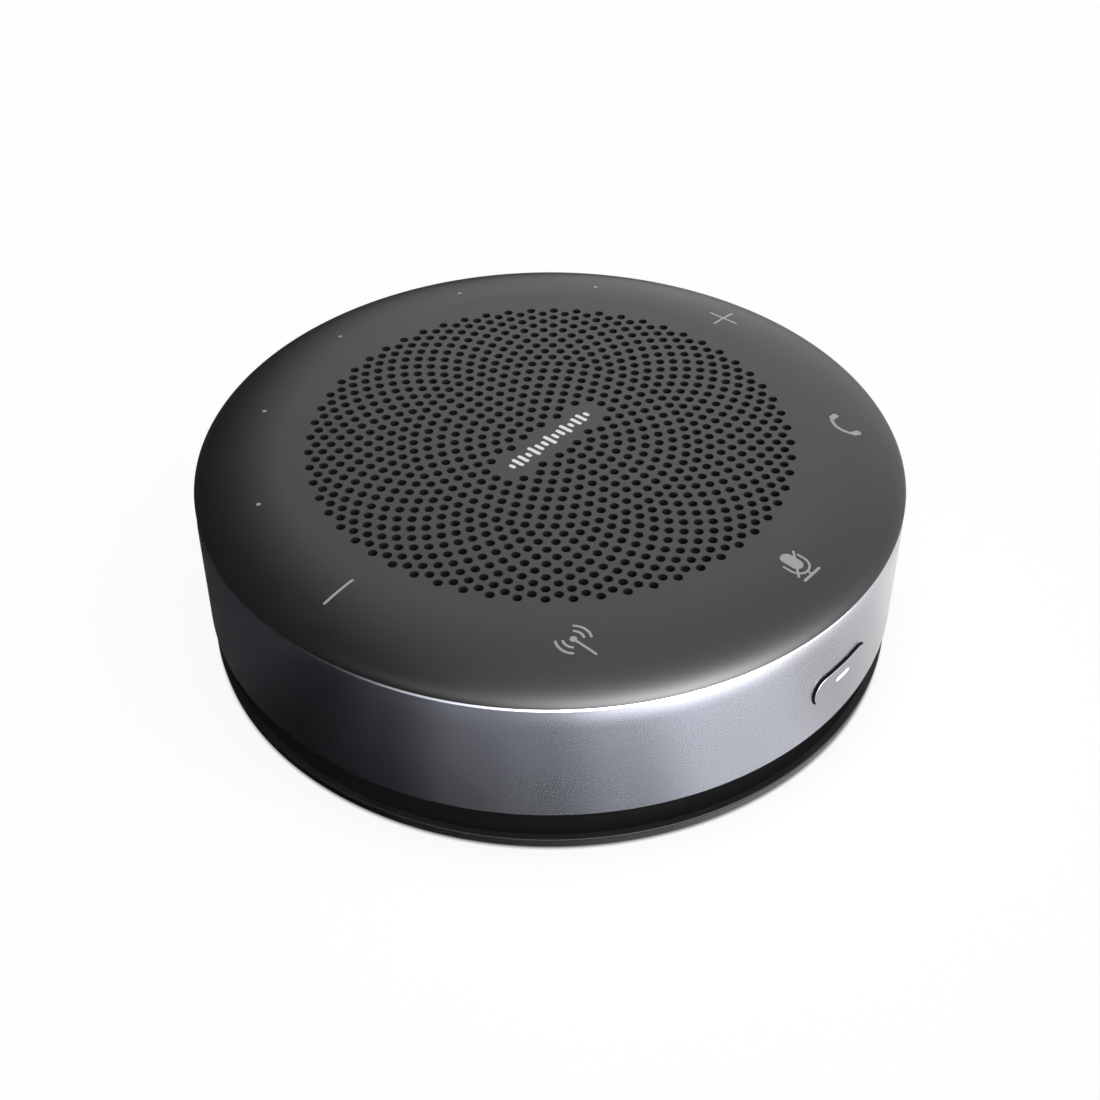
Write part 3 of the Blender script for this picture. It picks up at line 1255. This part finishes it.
def holed_ring(shape, z, r0, r1, hole_r, face_down):
    """A flat ring, or a disc where r0 is 0, with the four screw holes."""
    plan = Plan()
    for radius in (r0, r1):
        if radius > 0:
            plan.loop(column_ring(radius))
    holes = [disc(*polar(SCREW_R, angle), hole_r, SCREW_STEPS) for angle in SCREW_ANGLES]
    for hole in holes:
        plan.loop(hole)
    verts, tris = plan.triangulate()
    centres = verts[tris].mean(1)
    radii = np.hypot(centres[:, 0], centres[:, 1])
    keep = (radii > r0 * math.cos(math.pi / COLUMNS) - 1e-6) & (radii < r1)
    tris = tris[keep & ~inside_any(holes, centres)]
    verts = np.column_stack([verts, np.full(len(verts), z)])
    shape.add(verts, tris[:, ::-1] if face_down else tris)


def screw_hole(shape, x, y):
    """Countersink and bore of one screw."""
    levels = [(HEAD_R, GROOVE_Z), (SHANK_R, 2.45), (SHANK_R, PLATE_TOP)]
    rings = [np.column_stack([disc(x, y, radius, SCREW_STEPS), np.full(SCREW_STEPS, z)])
             for radius, z in levels]
    for lower, upper, tilt in ((rings[0], rings[1], -0.9), (rings[1], rings[2], 0.0)):
        normals = np.column_stack([-disc(0, 0, 1, SCREW_STEPS), np.full(SCREW_STEPS, tilt)])
        hole_strip(shape, lower, upper, normals, normals)


def build_plate():
    shape = Shape()
    z0 = lo("bottom_plate").z
    rim_r = hi("bottom_plate").x
    outer = outline([                    # r, z, fillet radius
        (GROOVE_R1, GROOVE_Z, 0.08), (GROOVE_R1, UNDER_Z, 0.12), (60, UNDER_Z, 0.10),
        (60.6, z0, 0.10), (rim_r - 0.05, z0, 0.30), (rim_r, 1.95, 0.10),
        (62.4, 1.95, 0.05), (62.4, 1.25, 0.05), (PLATE_R, 1.25, 0.05),
        (PLATE_R, PLATE_TOP, 0.1)], closed=False)

    def on_rim(segment):
        return min(segment[0][0][0], segment[1][0][0]) > rim_r - 0.45

    lathe(shape, [s for s in outer if not on_rim(s)])
    lathe(shape, [s for s in outer if on_rim(s)], slot=1)
    lathe(shape, outline([(0, UNDER_Z, 0), (GROOVE_R0, UNDER_Z, 0.12),
                          (GROOVE_R0, GROOVE_Z, 0.08)], closed=False))
    holed_ring(shape, GROOVE_Z, GROOVE_R0, GROOVE_R1, HEAD_R, face_down=True)
    holed_ring(shape, PLATE_TOP, 0.0, PLATE_R, SHANK_R, face_down=False)
    for angle in SCREW_ANGLES:
        screw_hole(shape, *polar(SCREW_R, angle))
    # low upright walls on top of the plate: four along X and one along Y
    wall_z0, wall_z1 = 2.5, 8
    for i in (-1, 1):
        for j in (-1, 1):
            block(shape, 0, i * 18 - 5, i * 18 + 5, j * 24.15 - 0.75, j * 24.15 + 0.75,
                  wall_z0, wall_z1)
    block(shape, 0, 29.4, 30.9, -10, 10, wall_z0, wall_z1)
    piece("underplate", shape, ["shell_black", "rim_satin"], ["bottom_plate"])


def build_foot():
    shape = Shape()
    r0, r1, z1 = GROOVE_R0 + 0.1, hi("foot_ring").x, hi("foot_ring").z
    lathe(shape, outline([(r0, 0, 0.3), (r1, 0, 0.3), (r1, z1, 0.05), (r0, z1, 0.05)]))
    piece("foot", shape, ["rubber_black"], ["foot_ring"])


skin = cover_skin()
build_cover(*skin)
build_marks(*skin)
build_grille()
build_band()
build_button()
build_base()
build_plate()
build_foot()


# ------------------------------------------------------------------ CAD nodes that stay
slot_of = {part["node"]: part["material_slot"] for part in frame["record"]["subparts"]}
for part_name, part in frame["nodes"].items():
    if not part.hide_render:
        part.data.materials.clear()
        part.data.materials.append(MATERIALS[slot_of[part_name]])


# ------------------------------------------------------------------ camera, m
CAMERA_AT = Vector((-0.1984, -0.1665, 0.2291))
LOOK_AT = Vector((0, 0, 0.0116))
RIGHT = Vector((0.643, -0.766, 0.0))     # camera right, on the floor plane
TOWARD = Vector((-0.766, -0.643, 0.0))   # from the object towards the camera


def build_camera():
    data = bpy.data.cameras.new("camera")
    data.lens = 57.32
    data.sensor_width = 36
    data.clip_start, data.clip_end = 0.01, 20
    camera = bpy.data.objects.new("camera", data)
    scene.collection.objects.link(camera)
    camera.location = CAMERA_AT
    camera.rotation_mode = "QUATERNION"
    camera.rotation_quaternion = (LOOK_AT - CAMERA_AT).to_track_quat("-Z", "Y")
    scene.camera = camera


# ------------------------------------------------------------------ floor
# Stops are (azimuth, value). Azimuth is in degrees round the object from the camera's
# side, positive towards camera right.
FLOOR_TONE = [                           # what glossy surfaces see of the floor
    (-180, 0.06), (-150, 0.03), (-107, 0.028), (-78, 0.035), (-63, 0.042), (-48, 0.016),
    (-32, 0.075), (-17, 0.26), (-1, 0.37), (14, 0.62), (30, 0.92), (45, 0.95), (60, 0.74),
    (75, 0.82), (92, 1.0), (120, 0.7), (165, 0.4), (180, 0.06)]
FLOOR_NEAR = [                           # factor on the tone close to the object
    (-180, 1.0), (-100, 1.0), (-75, 1.0), (-55, 0.25), (-40, 0.04), (-26, 0.06),
    (-14, 0.28), (-3, 0.42), (14, 0.65), (30, 0.95), (65, 0.92), (90, 1.0), (180, 1.0)]
FLOOR_FAR = [                            # farther out; 0.5 leaves the tone as it is
    (-180, 0.5), (-40, 0.5), (-26, 0.60), (-10, 0.62), (-1, 0.80), (12, 1.7), (26, 2.0),
    (42, 2.0), (60, 1.7), (75, 1.6), (95, 0.5), (180, 0.5)]
FLOOR_WARMTH = [(-180, 0.0), (28, 0.0), (62, 1.0), (120, 1.0), (180, 0.0)]
FLOOR_HALF = 6.0


def azimuth_ramp(tree, turn_share, stops, interpolation="EASE"):
    """A grey ramp whose stops are in degrees; turn_share is 0 to 1 for -180 to 180."""
    return grey_ramp(tree, turn_share, [((deg + 180) / 360, grey) for deg, grey in stops],
                     interpolation)


def floor_reflection(tree, position):
    """The emission that glossy rays see: a tone by azimuth and distance."""
    azimuth = calc(tree, "ARCTAN2", dot(tree, position, RIGHT), dot(tree, position, TOWARD))
    share = calc(tree, "MULTIPLY_ADD", azimuth, 1 / (2 * math.pi), 0.5)
    tone = azimuth_ramp(tree, share, FLOOR_TONE)
    distance = length(tree, position)
    # the near factor fades out with distance
    away = smooth(tree, distance, 0.066, 0.108, 0.0, 1.0)
    shade = azimuth_ramp(tree, share, FLOOR_NEAR)
    keep = calc(tree, "MULTIPLY_ADD", away, calc(tree, "SUBTRACT", 1.0, shade), shade)
    tone = calc(tree, "MULTIPLY", tone, keep)
    # a lighter stretch farther out, in front and on the right
    away = smooth(tree, distance, 0.098, 0.125, 0.0, 1.0)
    more = calc(tree, "MULTIPLY_ADD", azimuth_ramp(tree, share, FLOOR_FAR), 2.0, -1.0)
    stretch = calc(tree, "MULTIPLY", away, smooth(tree, distance, 0.17, 0.34, 1.0, 0.0))
    tone = calc(tree, "MULTIPLY", tone, calc(tree, "MULTIPLY_ADD", more, stretch, 1.0))
    tint = node(tree, "ShaderNodeMix", {
        0: azimuth_ramp(tree, share, FLOOR_WARMTH, "LINEAR"),
        6: (1, 1, 1, 1), 7: (1.03, 1.0, 0.94, 1)}, data_type="RGBA").outputs[2]
    return node(tree, "ShaderNodeEmission", {0: tint, 1: tone}).outputs[0]


def floor_material():
    result = bpy.data.materials.new("pale_floor")
    tree = empty_tree(result)
    rays = node(tree, "ShaderNodeLightPath")
    position = node(tree, "ShaderNodeNewGeometry").outputs["Position"]
    # the camera sees an even glow that stops under the rim, and a little of the shadows
    glow = smooth(tree, length(tree, position), 0.0640, 0.0652, 0.01, 0.87)
    glow = node(tree, "ShaderNodeEmission", {0: (1, 1, 1, 1), 1: glow})
    weak = node(tree, "ShaderNodeBsdfDiffuse", {0: (0.16, 0.16, 0.16, 1)})
    seen = node(tree, "ShaderNodeAddShader", {0: glow.outputs[0], 1: weak.outputs[0]})
    plain = node(tree, "ShaderNodeBsdfDiffuse", {0: (0.86, 0.86, 0.86, 1)})
    unseen = node(tree, "ShaderNodeMixShader", {
        0: rays.outputs["Is Glossy Ray"], 1: plain.outputs[0],
        2: floor_reflection(tree, position)})
    surface = node(tree, "ShaderNodeMixShader", {
        0: rays.outputs["Is Camera Ray"], 1: unseen.outputs[0], 2: seen.outputs[0]})
    node(tree, "ShaderNodeOutputMaterial", {0: surface.outputs[0]})
    return result


def build_floor():
    mesh = bpy.data.meshes.new("floor")
    s = FLOOR_HALF
    mesh.from_pydata([(-s, -s, 0), (s, -s, 0), (s, s, 0), (-s, s, 0)], [], [(0, 1, 2, 3)])
    floor = bpy.data.objects.new("floor", mesh)
    scene.collection.objects.link(floor)
    floor.location.z = -0.00002          # just clear of the foot ring
    mesh.materials.append(floor_material())


# ------------------------------------------------------------------ world
SKY_TONE = [                             # position from camera left (0) to right (1), tone
    (0.0, 0.012), (0.20, 0.012), (0.30, 0.06), (0.36, 0.25), (0.41, 0.70), (0.46, 0.96),
    (0.54, 1.0), (0.68, 0.82), (0.85, 0.66), (1.0, 0.62)]
SKY_STRENGTH = 1.75


def direction(azimuth, elevation):
    """A unit direction; azimuth as for the floor, both in degrees."""
    a, e = math.radians(azimuth), math.radians(elevation)
    return (RIGHT * (math.sin(a) * math.cos(e)) + TOWARD * (math.cos(a) * math.cos(e))
            + Vector((0, 0, math.sin(e))))


def soft_box(tree, view, towards, sharpness, strength, base):
    """Adds a round soft light to the tone in base."""
    facing = calc(tree, "MAXIMUM", dot(tree, view, towards), 0.0)
    return calc(tree, "MULTIPLY_ADD", calc(tree, "POWER", facing, sharpness), strength, base)


def sky_reflection(tree):
    """Strength of the sky for glossy rays: dark on camera left, with two soft boxes."""
    view = node(tree, "ShaderNodeTexCoord").outputs["Generated"]
    across, height = dot(tree, view, RIGHT), dot(tree, view, (0, 0, 1))
    share = calc(tree, "MULTIPLY_ADD", across, 0.5, 0.5)
    tone = calc(tree, "MULTIPLY", grey_ramp(tree, share, SKY_TONE), SKY_STRENGTH)
    # the left side dims towards the horizon
    dim = smooth(tree, height, 0.02, 0.45, 0.22, 1.0)
    side = smooth(tree, across, -0.10, 0.15, 0.0, 1.0)
    dim = calc(tree, "MULTIPLY_ADD", calc(tree, "SUBTRACT", 1.0, dim), side, dim)
    tone = calc(tree, "MULTIPLY", tone, dim)
    # a large one low in front on the right, a small weak one high in front on the left
    tone = soft_box(tree, view, direction(azimuth=38, elevation=30),
                    sharpness=6.0, strength=20.0, base=tone)
    return soft_box(tree, view, RIGHT * -0.43 + TOWARD * 0.53 + Vector((0, 0, 0.73)),
                    sharpness=40.0, strength=1.8, base=tone)


def build_world():
    world = bpy.data.worlds.new("studio")
    scene.world = world
    tree = empty_tree(world)
    rays = node(tree, "ShaderNodeLightPath")
    glossy = node(tree, "ShaderNodeBackground", {1: sky_reflection(tree)})
    diffuse = node(tree, "ShaderNodeBackground", {1: 0.95})
    backdrop = node(tree, "ShaderNodeBackground", {0: (1, 1, 1, 1), 1: 1.0})
    unseen = node(tree, "ShaderNodeMixShader", {
        0: rays.outputs["Is Glossy Ray"], 1: diffuse.outputs[0], 2: glossy.outputs[0]})
    surface = node(tree, "ShaderNodeMixShader", {
        0: rays.outputs["Is Camera Ray"], 1: unseen.outputs[0], 2: backdrop.outputs[0]})
    node(tree, "ShaderNodeOutputWorld", {0: surface.outputs[0]})
    world.cycles.sampling_method = "NONE"


build_camera()
build_floor()
build_world()
